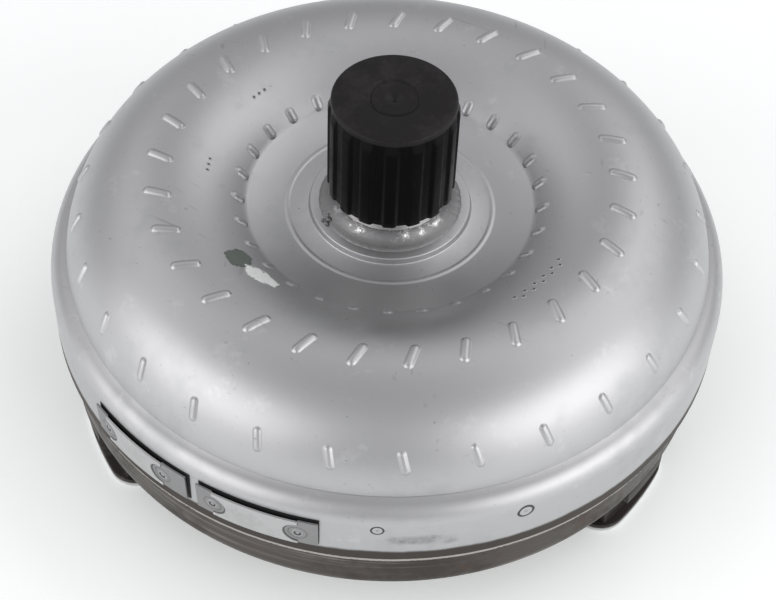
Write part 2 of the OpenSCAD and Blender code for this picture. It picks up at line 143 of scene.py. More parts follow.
class ConverterLooks(bpy.types.PropertyGroup):
    """Colours that a user would change."""

    steel: FloatVectorProperty(
        name="Steel", description="Pressed shell", subtype="COLOR", size=3, default=(0.50, 0.495, 0.505)
    )
    cover: FloatVectorProperty(
        name="Cover", description="Oily front cover", subtype="COLOR", size=3, default=(0.075, 0.064, 0.057)
    )
    heat: FloatVectorProperty(
        name="Heat Tint",
        description="Tint beside the rim weld",
        subtype="COLOR",
        size=3,
        default=(0.075, 0.064, 0.058),
    )
    cap: FloatVectorProperty(
        name="Cap",
        description="Moulded shipping cap",
        subtype="COLOR",
        size=3,
        default=(0.0016, 0.0016, 0.0017),
    )
    floor: FloatVectorProperty(
        name="Floor", description="Studio floor", subtype="COLOR", size=3, default=(0.905, 0.92, 0.912)
    )


def sizes():
    return bpy.context.scene.converter_sizes


def looks():
    return bpy.context.scene.converter_looks


# ---------------------------------------------------------------- mesh helpers


def arc(centre_r, centre_z, rho, start, end, steps):
    """Points on an arc of the half plane, angles in degrees from the outward direction."""
    points = []
    for i in range(steps + 1):
        angle = math.radians(start + (end - start) * i / steps)
        points.append((centre_r + rho * math.cos(angle), centre_z + rho * math.sin(angle)))
    return points


def rounded(points, radius, steps=4):
    """The open outline with each inner corner rounded off by up to radius."""
    done = [points[0]]
    for before, corner, after in zip(points, points[1:], points[2:]):
        a, b, c = Vector(before), Vector(corner), Vector(after)
        reach = min(radius, (a - b).length * 0.45, (c - b).length * 0.45)
        start = b + (a - b).normalized() * reach
        end = b + (c - b).normalized() * reach
        for i in range(steps + 1):
            t = i / steps
            done.append(tuple(start.lerp(b, t).lerp(b.lerp(end, t), t)))
    done.append(points[-1])
    return done


def lathe(outline, steps, closed=True):
    """A bmesh of the outline, (radius, height) pairs, spun right round the axis."""
    bm = bmesh.new()
    verts = [bm.verts.new((r, 0, z)) for r, z in outline]
    pairs = list(zip(verts, verts[1:]))
    if closed:
        pairs.append((verts[-1], verts[0]))
    edges = [bm.edges.new(pair) for pair in pairs]
    bmesh.ops.spin(
        bm,
        geom=verts + edges,
        cent=ORIGIN,
        axis=AXIS,
        angle=2 * math.pi,
        steps=steps,
        use_merge=True,
    )
    bmesh.ops.remove_doubles(bm, verts=bm.verts, dist=1e-7)
    bmesh.ops.recalc_face_normals(bm, faces=bm.faces)
    return bm


def finish_piece(bm, name, material, body, replaces=(), sharp=35):
    """Writes a bmesh to a new object that rides on a body, smooth but for its sharp edges."""
    limit = math.radians(sharp)
    for face in bm.faces:
        face.smooth = True
    for edge in bm.edges:
        edge.smooth = len(edge.link_faces) != 2 or edge.calc_face_angle(0) < limit
    mesh = bpy.data.meshes.new(name)
    bm.to_mesh(mesh)
    bm.free()
    piece = bpy.data.objects.new(name, mesh)
    bpy.context.scene.collection.objects.link(piece)
    mesh.materials.append(material)
    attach(piece, body)
    if replaces:
        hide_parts(*replaces)
    return piece


def join_into(target, source, place=None):
    """Adds a copy of source's geometry to target, each vertex moved by place."""
    mesh = bpy.data.meshes.new("part")
    source.to_mesh(mesh)
    first = len(target.verts)
    target.from_mesh(mesh)
    bpy.data.meshes.remove(mesh)
    target.verts.ensure_lookup_table()
    if place:
        for vert in target.verts[first:]:
            vert.co = place(vert.co)


def bevelled_copy(node, name, material, body, width, segments=3):
    """A copy of a CAD node with its flats made whole and its edges rounded."""
    bm = bmesh.new()
    bm.from_mesh(NODES[node].data)
    bmesh.ops.remove_doubles(bm, verts=bm.verts, dist=2e-6)
    bmesh.ops.dissolve_degenerate(bm, edges=bm.edges, dist=1e-6)
    bmesh.ops.dissolve_limit(bm, angle_limit=math.radians(1), verts=bm.verts, edges=bm.edges)
    edges = [e for e in bm.edges if len(e.link_faces) == 2 and e.calc_face_angle(0) > math.radians(28)]
    bmesh.ops.bevel(
        bm,
        geom=edges,
        offset=width,
        offset_type="OFFSET",
        affect="EDGES",
        segments=segments,
        profile=0.5,
        material=-1,
        clamp_overlap=True,
    )
    return finish_piece(bm, name, material, body, replaces=[node])


def ring_point(r, turn, z):
    return Vector((r * math.cos(turn), r * math.sin(turn), z))


def swung(x, y, lean):
    """The two distances turned by lean."""
    return x * math.cos(lean) - y * math.sin(lean), x * math.sin(lean) + y * math.cos(lean)


def eased(share):
    """A share held between 0 and 1, with a soft start and a soft end."""
    held = max(0.0, min(1.0, share))
    return held * held * (3 - 2 * held)


def shell_radius(along):
    """The radius at a distance along the shell's section from the crest, outwards positive."""
    rho = OUTER_RHO if along > 0 else INNER_RHO
    return TORUS_R + rho * math.sin(along / rho)


def inner_reach(r):
    """The distance along the section from the crest, to a radius inside it."""
    return INNER_RHO * math.asin((r - TORUS_R) / INNER_RHO)


def shell_point(along, turn, height):
    """A point on the shell: along its section from the crest, outwards positive, then up its normal."""
    rho, centre_z = (OUTER_RHO, OUTER_Z) if along > 0 else (INNER_RHO, INNER_Z)
    slope = along / rho
    z = centre_z + (rho + height) * math.cos(slope)
    return ring_point(TORUS_R + (rho + height) * math.sin(slope), turn, z)


def ripple(point, scale, seed):
    """Smooth noise from -1 to 1, the same each run."""
    return noise.noise(Vector(point) * scale + Vector((seed, seed * 1.7, -seed)))


# ---------------------------------------------------------------- material helpers


class Tree:
    """Short hands for adding nodes to a material or a group."""

    def __init__(self, tree):
        self.tree = tree

    def node(self, kind, **settings):
        made = self.tree.nodes.new(kind)
        for key, value in settings.items():
            setattr(made, key, value)
        return made

    def link(self, source, target):
        self.tree.links.new(source, target)

    def feed(self, socket, value):
        if isinstance(value, bpy.types.NodeSocket):
            self.link(value, socket)
        else:
            socket.default_value = value

    def math(self, operation, a, b=0.0, clamp=False):
        made = self.node("ShaderNodeMath", operation=operation, use_clamp=clamp)
        self.feed(made.inputs[0], a)
        self.feed(made.inputs[1], b)
        return made.outputs[0]

    def noise(self, vector, scale, detail=4.0, roughness=0.55, distortion=0.0):
        made = self.node("ShaderNodeTexNoise")
        self.link(vector, made.inputs["Vector"])
        self.feed(made.inputs["Scale"], scale)
        made.inputs["Detail"].default_value = detail
        made.inputs["Roughness"].default_value = roughness
        made.inputs["Distortion"].default_value = distortion
        return made.outputs["Fac"]

    def ramp(self, value, low, high, to_low=0.0, to_high=1.0):
        made = self.node("ShaderNodeMapRange", interpolation_type="SMOOTHSTEP")
        self.feed(made.inputs["Value"], value)
        for socket, amount in zip(("From Min", "From Max", "To Min", "To Max"), (low, high, to_low, to_high)):
            self.feed(made.inputs[socket], amount)
        return made.outputs["Result"]

    def blend(self, amount, a, b, blend_type="MIX"):
        made = self.node("ShaderNodeMix", data_type="RGBA", blend_type=blend_type)
        self.feed(made.inputs[0], amount)
        self.feed(made.inputs[6], a)
        self.feed(made.inputs[7], b)
        return made.outputs[2]

    def split(self, vector):
        made = self.node("ShaderNodeSeparateXYZ")
        self.link(vector, made.inputs[0])
        return made.outputs

    def combine(self, x, y, z):
        made = self.node("ShaderNodeCombineXYZ")
        for socket, value in zip(made.inputs, (x, y, z)):
            self.feed(socket, value)
        return made.outputs[0]

    def group(self, group, **values):
        made = self.node("ShaderNodeGroup", node_tree=group)
        for key, value in values.items():
            self.feed(made.inputs[key.replace("_", " ")], value)
        return made.outputs

    def blotch(self, place, scale, low, high):
        return self.group(GROUPS["blotches"], Vector=place, Scale=scale, Low=low, High=high)["Mask"]

    def scratch(self, place, scale, amount):
        return self.group(GROUPS["scratches"], Vector=place, Scale=scale, Stretch=0.05, Amount=amount)["Mask"]

    def turned(self, place, pitch_scale, length_scale):
        return self.group(GROUPS["turning"], Vector=place, Pitch_Scale=pitch_scale, Length_Scale=length_scale)

    def band(self, place, bottom, top, fade, ragged):
        group = GROUPS["band"]
        return self.group(group, Vector=place, Bottom=bottom, Top=top, Fade=fade, Ragged=ragged)["Mask"]


def new_group(name, inputs, outputs):
    """A shader node group with named float or colour sockets."""
    group = bpy.data.node_groups.new(name, "ShaderNodeTree")
    for label, default in inputs.items():
        kind = "NodeSocketColor" if isinstance(default, tuple) else "NodeSocketFloat"
        if default is None:
            kind = "NodeSocketVector"
        socket = group.interface.new_socket(label, in_out="INPUT", socket_type=kind)
        if default is not None:
            socket.default_value = default
    for label, kind in outputs.items():
        group.interface.new_socket(label, in_out="OUTPUT", socket_type=kind)
    tree = Tree(group)
    source = tree.node("NodeGroupInput")
    sink = tree.node("NodeGroupOutput")
    return group, tree, source.outputs, sink.inputs


def rolled_grain():
    """Height of fine grain with a coarser orange-peel swell under it."""
    group, t, given, out = new_group(
        "Rolled Grain",
        {"Vector": None, "Fine Scale": 1600.0, "Swell Scale": 90.0, "Fine Share": 0.3},
        {"Height": "NodeSocketFloat"},
    )
    fine = t.noise(given["Vector"], given["Fine Scale"], detail=3.0)
    swell = t.noise(given["Vector"], given["Swell Scale"], detail=2.0)
    t.link(t.math("ADD", t.math("MULTIPLY", fine, given["Fine Share"]), swell), out["Height"])
    return group


def blotches():
    """Soft-edged patches: share of stained surface between two thresholds."""
    group, t, given, out = new_group(
        "Blotches",
        {"Vector": None, "Scale": 30.0, "Low": 0.5, "High": 0.7, "Detail Mix": 0.35},
        {"Mask": "NodeSocketFloat"},
    )
    broad = t.noise(given["Vector"], given["Scale"], detail=6.0, roughness=0.6)
    fine = t.noise(given["Vector"], t.math("MULTIPLY", given["Scale"], 7.3), detail=4.0)
    mixed = t.math("ADD", broad, t.math("MULTIPLY", t.math("SUBTRACT", fine, 0.5), given["Detail Mix"]))
    t.link(t.ramp(mixed, given["Low"], given["High"]), out["Mask"])
    return group


def turning_marks():
    """Streaks that run round the axis, as from a lathe or a wiped film."""
    group, t, given, out = new_group(
        "Turning Marks",
        {"Vector": None, "Pitch Scale": 900.0, "Length Scale": 3.0},
        {"Height": "NodeSocketFloat", "Mask": "NodeSocketFloat"},
    )
    x, y, z = t.split(given["Vector"])
    radius = t.math("SQRT", t.math("ADD", t.math("MULTIPLY", x, x), t.math("MULTIPLY", y, y)))
    reach = t.math("MAXIMUM", radius, 0.001)
    across = t.math("MULTIPLY", t.math("ADD", radius, z), given["Pitch Scale"])
    east = t.math("MULTIPLY", t.math("DIVIDE", x, reach), given["Length Scale"])
    north = t.math("MULTIPLY", t.math("DIVIDE", y, reach), given["Length Scale"])
    streaks = t.noise(t.combine(east, north, across), 1.0, detail=4.0, roughness=0.6)
    t.link(streaks, out["Height"])
    t.link(t.ramp(streaks, 0.5, 0.72), out["Mask"])
    return group


def scratches():
    """Thin straight scratches in two directions, broken up so that few are long."""
    group, t, given, out = new_group(
        "Scratches",
        {"Vector": None, "Scale": 260.0, "Stretch": 0.06, "Amount": 0.5},
        {"Mask": "NodeSocketFloat"},
    )
    x, y, z = t.split(given["Vector"])
    lines = []
    for along, across, other in ((x, y, z), (y, z, x)):
        lean = t.math("ADD", across, t.math("MULTIPLY", along, 0.45))
        stretched = t.combine(t.math("MULTIPLY", along, given["Stretch"]), lean, other)
        lines.append(t.ramp(t.noise(stretched, given["Scale"], detail=2.0, roughness=0.4), 0.69, 0.73))
    broken = t.ramp(t.noise(given["Vector"], 24.0, detail=3.0), 0.5, 0.66)
    crossed = t.math("MAXIMUM", lines[0], lines[1])
    t.link(t.math("MULTIPLY", t.math("MULTIPLY", crossed, broken), given["Amount"]), out["Mask"])
    return group


def height_band():
    """1 between two heights of the object, fading out above and below, with a ragged edge."""
    group, t, given, out = new_group(
        "Height Band",
        {"Vector": None, "Bottom": 0.0, "Top": 1.0, "Fade": 0.002, "Ragged": 0.002},
        {"Mask": "NodeSocketFloat"},
    )
    _, _, z = t.split(given["Vector"])
    wander = t.math("MULTIPLY", t.math("SUBTRACT", t.noise(given["Vector"], 70.0), 0.5), given["Ragged"])
    level = t.math("ADD", z, wander)
    above = t.ramp(level, t.math("SUBTRACT", given["Bottom"], given["Fade"]), given["Bottom"])
    below = t.ramp(level, given["Top"], t.math("ADD", given["Top"], given["Fade"]), 1.0, 0.0)
    t.link(t.math("MULTIPLY", above, below), out["Mask"])
    return group


GROUPS = {}


def make_groups():
    for name, maker in (
        ("grain", rolled_grain),
        ("blotches", blotches),
        ("turning", turning_marks),
        ("scratches", scratches),
        ("band", height_band),
    ):
        GROUPS[name] = maker()


def start_material(name, metallic=1.0, roughness=0.4, **plain):
    """A new material with its Principled shader, a node helper and the object coordinates."""
    material = bpy.data.materials.new(name)
    material.use_nodes = True
    tree = Tree(material.node_tree)
    shader = material.node_tree.nodes["Principled BSDF"]
    shader.inputs["Metallic"].default_value = metallic
    shader.inputs["Roughness"].default_value = roughness
    for key, value in plain.items():
        shader.inputs[key.replace("_", " ")].default_value = value
    place = tree.node("ShaderNodeTexCoord").outputs["Object"]
    return material, tree, shader, place


def add_bump(tree, shader, height, strength, distance):
    bump = tree.node("ShaderNodeBump")
    bump.inputs["Strength"].default_value = strength
    bump.inputs["Distance"].default_value = distance
    tree.link(height, bump.inputs["Height"])
    tree.link(bump.outputs["Normal"], shader.inputs["Normal"])


def colour(rgb):
    return (rgb[0], rgb[1], rgb[2], 1.0)


def pressed_steel():
    """Satin pressed shell: faint stains, scuffs, wiped film and the heat tint by the rim weld."""
    material, t, shader, place = start_material("pressed_steel", 1.0, 0.36)
    steel = colour(looks().steel)
    stain = t.blotch(place, 17.0, 0.52, 0.74)
    scuff = t.blotch(place, 60.0, 0.6, 0.72)
    lines = t.scratch(place, 300.0, 0.6)
    marks = t.turned(place, 700.0, 2.4)
    heat = t.band(place, 0.040, WALL_FOOT_Z + 0.0048, 0.002, 0.002)
    specks = t.ramp(t.noise(place, 520.0, detail=2.0), 0.715, 0.755)
    base = t.blend(t.math("MULTIPLY", stain, 0.4), steel, (0.41, 0.42, 0.42, 1))
    base = t.blend(t.math("MULTIPLY", scuff, 0.3), base, (0.66, 0.66, 0.67, 1))
    base = t.blend(t.math("MULTIPLY", lines, 0.6), base, (0.27, 0.27, 0.28, 1))
    base = t.blend(t.math("MULTIPLY", specks, 0.45), base, (0.2, 0.2, 0.2, 1))
    base = t.blend(heat, base, colour(looks().heat))
    t.link(base, shader.inputs["Base Color"])
    rough = t.math("ADD", 0.44, t.math("MULTIPLY", stain, 0.07))
    rough = t.math("ADD", rough, t.math("MULTIPLY", marks["Height"], 0.05))
    rough = t.math("ADD", rough, t.math("MULTIPLY", heat, 0.12))
    t.link(rough, shader.inputs["Roughness"])
    grain = t.group(GROUPS["grain"], Vector=place, Fine_Scale=1500.0, Swell_Scale=85.0, Fine_Share=0.25)
    height = t.math("ADD", grain["Height"], t.math("MULTIPLY", marks["Height"], 0.2))
    height = t.math("SUBTRACT", height, t.math("MULTIPLY", lines, 0.5))
    add_bump(t, shader, height, 0.22, 0.0003)
    return material


def cover_steel():
    """Dark bare cover under a dried oil film, with rubbed streaks round it."""
    material, t, shader, place = start_material("cover_steel", 0.82, 0.46)
    cover = colour(looks().cover)
    film = t.blotch(place, 26.0, 0.42, 0.68)
    rust = t.blotch(place, 95.0, 0.58, 0.72)
    marks = t.turned(place, 420.0, 1.6)
    base = t.blend(marks["Mask"], cover, (0.2, 0.18, 0.165, 1))
    base = t.blend(t.math("MULTIPLY", film, 0.5), base, (0.045, 0.038, 0.034, 1))
    base = t.blend(t.math("MULTIPLY", rust, 0.35), base, (0.17, 0.085, 0.05, 1))
    t.link(base, shader.inputs["Base Color"])
    t.link(t.math("ADD", 0.38, t.math("MULTIPLY", film, 0.2)), shader.inputs["Roughness"])
    height = t.math("ADD", t.math("MULTIPLY", marks["Height"], 0.7), t.noise(place, 800.0))
    add_bump(t, shader, height, 0.3, 0.0003)
    return material


def lug_steel():
    """Stamped steel painted almost black as the shade it lies in, with a painted highlight along the foot's
    lower rim.
    """
    material, t, shader, place = start_material("lug_steel", 0.75, 0.5)
    film = t.blotch(place, 60.0, 0.45, 0.65)
    rim = t.band(place, -0.01, 0.0012, 0.0014, 0.0012)
    # Painted shade: these near-black tones stand for the shadow on the lug, and the blotches only vary them
    base = t.blend(film, (0.045, 0.038, 0.035, 1), (0.095, 0.085, 0.08, 1))
    # Painted highlight: a bright band along the foot's lower rim
    base = t.blend(rim, base, (0.6, 0.6, 0.6, 1))
    t.link(base, shader.inputs["Base Color"])
    t.link(t.math("SUBTRACT", 0.52, t.math("MULTIPLY", rim, 0.2)), shader.inputs["Roughness"])
    add_bump(t, shader, t.noise(place, 500.0), 0.35, 0.0003)
    return material


def weld_steel():
    """Scaled, heat-tinted bead with a painted highlight along its crown."""
    material, t, shader, place = start_material("weld_steel", 0.85, 0.42)
    ridge_z = WALL_FOOT_Z - 0.0014
    # Painted highlight: a bright band along the bead's crown
    crown_highlight = t.band(place, ridge_z - 0.0006, ridge_z + 0.0003, 0.0009, 0.0012)
    scale = t.blotch(place, 120.0, 0.45, 0.62)
    base = t.blend(scale, (0.05, 0.043, 0.04, 1), (0.12, 0.105, 0.098, 1))
    base = t.blend(t.math("MULTIPLY", crown_highlight, 0.85), base, (0.5, 0.47, 0.44, 1))
    t.link(base, shader.inputs["Base Color"])
    t.link(t.ramp(scale, 0.0, 1.0, 0.34, 0.55), shader.inputs["Roughness"])
    add_bump(t, shader, t.noise(place, 900.0, detail=5.0), 0.5, 0.0003)
    return material


def bright_steel(name, tone, roughness, stain_tone):
    """Turned or ground bare steel with a little staining."""
    material, t, shader, place = start_material(name, 1.0, roughness)
    stain = t.blotch(place, 80.0, 0.5, 0.7)
    marks = t.turned(place, 1500.0, 4.0)
    base = t.blend(t.math("MULTIPLY", stain, 0.5), colour(tone), colour(stain_tone))
    t.link(base, shader.inputs["Base Color"])
    t.link(t.ramp(stain, 0.0, 1.0, roughness, roughness + 0.14), shader.inputs["Roughness"])
    add_bump(t, shader, marks["Height"], 0.25, 0.0002)
    return material


def cast_aluminium():
    material, t, shader, place = start_material("cast_aluminium", 1.0, 0.5)
    base = t.blend(t.noise(place, 60.0), (0.6, 0.61, 0.62, 1), (0.74, 0.75, 0.76, 1))
    t.link(base, shader.inputs["Base Color"])
    add_bump(t, shader, t.noise(place, 700.0, detail=6.0), 0.5, 0.0004)
    return material


def cap_plastic():
    """Black moulded plastic, its top painted lighter for dust and for the reflection of the overhead light,
    and its flanks almost without sheen.
    """
    material, t, shader, place = start_material("cap_plastic", 0.0, 0.36, Specular_IOR_Level=0.1)
    # Painted reflection: the top band is lighter for the overhead light's reflection as well as for dust
    top = t.band(place, CAP_TOP_Z - 0.0022, CAP_TOP_Z + 0.01, 0.0008, 0.0003)
    dust = t.blotch(place, 70.0, 0.45, 0.72)
    lines = t.scratch(place, 420.0, 0.7)
    dust_and_painted_reflection = t.blend(dust, (0.018, 0.0165, 0.017, 1), (0.026, 0.0235, 0.024, 1))
    base = t.blend(top, colour(looks().cap), dust_and_painted_reflection)
    base = t.blend(t.math("MULTIPLY", lines, 0.3), base, (0.06, 0.06, 0.062, 1))
    t.link(base, shader.inputs["Base Color"])
    t.link(t.ramp(dust, 0.0, 1.0, 0.28, 0.42), shader.inputs["Roughness"])
    add_bump(t, shader, t.noise(place, 1300.0, detail=3.0), 0.12, 0.0002)
    return material


def strip_steel():
    """Strip metal: bright between the spot welds, dull and ring-marked round them."""
    material, t, shader, place = start_material("weight_steel", 1.0, 0.42)
    reach = t.node("ShaderNodeAttribute", attribute_name="reach").outputs["Fac"]
    pressed = t.ramp(reach, 0.0054, 0.0059, 1.0, 0.0)
    rim = t.math("MULTIPLY", t.ramp(reach, 0.0051, 0.0055), t.ramp(reach, 0.0058, 0.0062, 1.0, 0.0))
    inner = t.math("MULTIPLY", t.ramp(reach, 0.0033, 0.0037), t.ramp(reach, 0.0039, 0.0043, 1.0, 0.0))
    stain = t.blotch(place, 130.0, 0.45, 0.65)
    base = t.blend(t.math("MULTIPLY", stain, 0.35), (0.52, 0.515, 0.52, 1), (0.36, 0.36, 0.36, 1))
    base = t.blend(t.math("MULTIPLY", pressed, 0.75), base, (0.24, 0.235, 0.24, 1))
    base = t.blend(t.math("MULTIPLY", rim, 0.8), base, (0.06, 0.056, 0.055, 1))
    base = t.blend(t.math("MULTIPLY", inner, 0.5), base, (0.1, 0.095, 0.095, 1))
    t.link(base, shader.inputs["Base Color"])
    t.link(t.ramp(pressed, 0.0, 1.0, 0.4, 0.52), shader.inputs["Roughness"])
    add_bump(t, shader, t.noise(place, 900.0), 0.3, 0.0002)
    return material


def ground_weld():
    """The hub weld, ground back to satin with bright bare facets along its upper edge."""
    material, t, shader, place = start_material("ground_weld", 1.0, 0.4)
    upper = t.band(place, BEAD_LOW_Z + 0.0038, 1.0, 0.0022, 0.0034)
    facets = t.blotch(place, 190.0, 0.5, 0.66)
    bright = t.math("MULTIPLY", upper, facets)
    base = t.blend(bright, (0.25, 0.247, 0.25, 1), (0.66, 0.65, 0.645, 1))
    t.link(base, shader.inputs["Base Color"])
    t.link(t.ramp(bright, 0.0, 1.0, 0.52, 0.27), shader.inputs["Roughness"])
    add_bump(t, shader, t.noise(place, 620.0, detail=5.0), 0.5, 0.0004)
    return material


def paint_film(name, tone, edge_low, edge_high, scale):
    """A thin dab of paint whose edge breaks up, cut by the piece's own mask attribute."""
    material, t, shader, place = start_material(name, 0.0, 0.5)
    fade = t.node("ShaderNodeAttribute", attribute_name="cover").outputs["Fac"]
    torn = t.math("MULTIPLY", t.math("SUBTRACT", t.noise(place, scale, detail=5.0), 0.5), 0.9)
    alpha = t.ramp(t.math("ADD", fade, torn), edge_low, edge_high)
    t.link(alpha, shader.inputs["Alpha"])
    patch = t.noise(place, scale * 2, detail=4.0)
    shade = tuple(c * 0.72 for c in tone)
    t.link(t.blend(patch, colour(shade), colour(tone)), shader.inputs["Base Color"])
    add_bump(t, shader, patch, 0.3, 0.0002)
    return material


def plain_finish(name, tone, metallic, roughness, scale):
    """A simple finish for inner pieces: a mottled tone and a fine bump."""
    material, t, shader, place = start_material(name, metallic, roughness)
    dark = tuple(c * 0.8 for c in tone)
    t.link(t.blend(t.noise(place, scale), colour(dark), colour(tone)), shader.inputs["Base Color"])
    add_bump(t, shader, t.noise(place, scale * 12), 0.25, 0.0002)
    return material


def floor_finish():
    material, t, shader, place = start_material("studio_floor", 0.0, 0.8)
    floor = looks().floor
    dim = tuple(c * 0.985 for c in floor)
    t.link(t.blend(t.noise(place, 6.0), colour(dim), colour(floor)), shader.inputs["Base Color"])
    shader.inputs["Emission Color"].default_value = (0.97, 1.0, 0.985, 1)
    shader.inputs["Emission Strength"].default_value = 0.2
    return material


MATERIALS = {}


def make_materials():
    MATERIALS["pressed_steel"] = pressed_steel()
    MATERIALS["cover_steel"] = cover_steel()
    MATERIALS["lug_steel"] = lug_steel()
    MATERIALS["weld_steel"] = weld_steel()
    MATERIALS["cap_plastic"] = cap_plastic()
    MATERIALS["ground_weld"] = ground_weld()
    MATERIALS["cast_aluminium"] = cast_aluminium()
    MATERIALS["weight_steel"] = strip_steel()
    MATERIALS["floor"] = floor_finish()
    for name, tone, metallic, roughness, scale in (
        ("crater_steel", (0.42, 0.42, 0.425), 1.0, 0.42, 300.0),
        ("punch_pit", (0.17, 0.165, 0.165), 0.9, 0.5, 300.0),
        ("burnt_ring", (0.085, 0.08, 0.08), 0.8, 0.5, 300.0),
        # A near-black finish for the painted shadow in the gap behind the balance strips
        ("gap_shadow_paint", (0.006, 0.006, 0.006), 0.0, 0.8, 300.0),
        ("bush_bronze", (0.62, 0.44, 0.22), 1.0, 0.3, 90.0),
        ("blade_steel", (0.45, 0.45, 0.47), 1.0, 0.38, 60.0),
        ("spring_steel", (0.2, 0.24, 0.32), 1.0, 0.35, 120.0),
        ("friction_paper", (0.22, 0.15, 0.09), 0.0, 0.85, 400.0),
        ("seal_rubber", (0.03, 0.03, 0.03), 0.0, 0.6, 200.0),
    ):
        MATERIALS[name] = plain_finish(name, tone, metallic, roughness, scale)
    for name, tone, roughness, stain_tone in (
        ("hub_steel", (0.72, 0.71, 0.69), 0.2, (0.4, 0.38, 0.36)),
        ("machined_steel", (0.5, 0.49, 0.48), 0.3, (0.3, 0.28, 0.27)),
        ("bearing_steel", (0.72, 0.73, 0.74), 0.12, (0.6, 0.6, 0.6)),
    ):
        MATERIALS[name] = bright_steel(name, tone, roughness, stain_tone)
    for name, tone, edge_low, edge_high, scale in (
        ("inspection_paint", (0.11, 0.13, 0.115), 0.36, 0.5, 160.0),
        ("chalk_smear", (0.82, 0.82, 0.81), 0.4, 0.55, 300.0),
        ("oil_film", (0.17, 0.2, 0.19), 0.86, 1.3, 90.0),
    ):
        MATERIALS[name] = paint_film(name, tone, edge_low, edge_high, scale)


# ---------------------------------------------------------------- operators


def dome(length, width, height):
    """A stadium-shaped bump lying along X on the plane z = 0, with a fillet round its foot."""
    half = width / 2
    straight = length / 2 - half
    bm = bmesh.new()
    bmesh.ops.create_circle(
        bm, cap_ends=True, segments=22, radius=half, matrix=Matrix.Rotation(math.pi / 2, 4, "Z")
    )
    sides = [e for e in bm.edges if abs(e.verts[0].co.x + e.verts[1].co.x) < 1e-6]
    reach = max(abs(v.co.x) for e in sides for v in e.verts)
    bmesh.ops.subdivide_edges(bm, edges=sides, cuts=5)
    for vert in bm.verts:
        x = vert.co.x
        if abs(x) < reach - 1e-6:
            vert.co.x = x / reach * (reach + straight)
        else:
            vert.co.x = x + math.copysign(straight, x)
        vert.co.z = -0.00003
    steps = ((0.08, 0.05), (0.10, 0.15), (0.12, 0.24), (0.15, 0.24), (0.18, 0.18), (0.18, 0.10))
    top = list(bm.faces)
    for thickness, share in steps:
        bmesh.ops.inset_region(
            bm,
            faces=top,
            thickness=thickness * half,
            depth=share * height,
            use_boundary=True,
            use_even_offset=True,
        )
    bmesh.ops.triangulate(bm, faces=[f for f in bm.faces if len(f.verts) > 4])
    bmesh.ops.recalc_face_normals(bm, faces=bm.faces)
    if sum(f.normal.z for f in bm.faces) < 0:
        bmesh.ops.reverse_faces(bm, faces=bm.faces)
    return bm


class CONVERTER_OT_shell(bpy.types.Operator):
    """Spin the pressed impeller shell from its section"""

    bl_idname = "converter.shell"
    bl_label = "Impeller Shell"

    def execute(self, context):
        shoulder_r = RIM_R - SHOULDER_RHO
        annulus = math.degrees(math.acos((ANNULUS_R - TORUS_R) / INNER_RHO))
        crease = math.degrees(math.asin((SHOULDER_Z + 0.009 - OUTER_Z) / OUTER_RHO))
        hub_side = [
            (NECK_R + 0.0001, 0.0996),
            (NECK_R + 0.0001, 0.104),
            (0.0339, 0.1038),
            (0.0343, 0.1009),
            (0.0424, 0.1002),
            (0.0432, 0.10055),
            (0.0440, 0.10045),
            (0.0447, 0.10025),
            (0.0598, 0.1021),
        ]
        wall = [(RIM_R, SHOULDER_Z), (RIM_R, WALL_FOOT_Z), (RIM_R - WALL_T, WALL_FOOT_Z)]
        outline = rounded(hub_side, 0.0007, 3)
        outline += arc(TORUS_R, INNER_Z, INNER_RHO, annulus - 1.0, 90, 22)
        outline += arc(TORUS_R, OUTER_Z, OUTER_RHO, 87, crease + 1.9, 34)
        groove = math.radians(crease + 0.9)
        floor_rho = OUTER_RHO - 0.0003
        outline.append((TORUS_R + floor_rho * math.cos(groove), OUTER_Z + floor_rho * math.sin(groove)))
        outline += arc(shoulder_r, SHOULDER_Z, SHOULDER_RHO, 71, 4, 12)
        outline += rounded([wall[0], wall[1], wall[2]], 0.0006, 3)
        outline += arc(shoulder_r, SHOULDER_Z, SHOULDER_RHO - WALL_T, 0, 70, 6)
        outline += arc(TORUS_R, OUTER_Z, OUTER_RHO - SHELL_T, 4, 86, 16)
        outline += arc(TORUS_R, INNER_Z, INNER_RHO - SHELL_T, 90, annulus, 12)
        outline += [(0.044, 0.0973), (0.0371, 0.0996)]
        bm = lathe(outline, 288)
        finish_piece(
            bm, "impeller_shell_pressing", MATERIALS["pressed_steel"], "casing",
            replaces=["impeller_shell"], sharp=24,
        )
        return {"FINISHED"}


class CONVERTER_OT_dimples(bpy.types.Operator):
    """Raise the three rings of blade dimples on the shell"""

    bl_idname = "converter.dimples"
    bl_label = "Blade Dimples"

    def execute(self, context):
        s = sizes()
        pitch = 2 * math.pi / s.dimple_count
        crest = (0.0, math.radians(3.4), s.dimple_lean, s.dimple_length, s.dimple_width, s.dimple_height)
        outer = (0.0428, math.radians(13.5), math.radians(13), 0.0108, 0.0040, 0.00095)
        inner = (-0.0365, math.radians(10.2), 0.0, 0.0082, 0.0050, 0.00105)
        for name, ring in (("crest", crest), ("outer", outer), ("inner", inner)):
            along, first, lean, length, width, height = ring
            template = dome(length, width, height)
            whole = bmesh.new()
            for i in range(s.dimple_count):
                turn = first + i * pitch

                def place(co, turn=turn):
                    out, side = swung(co.x, co.y, lean)
                    out += along
                    return shell_point(out, turn + side / shell_radius(out), co.z)

                join_into(whole, template, place)
            template.free()
            finish_piece(
                whole, f"blade_dimples_{name}", MATERIALS["pressed_steel"], "casing",
                sharp=60,
            )
        return {"FINISHED"}


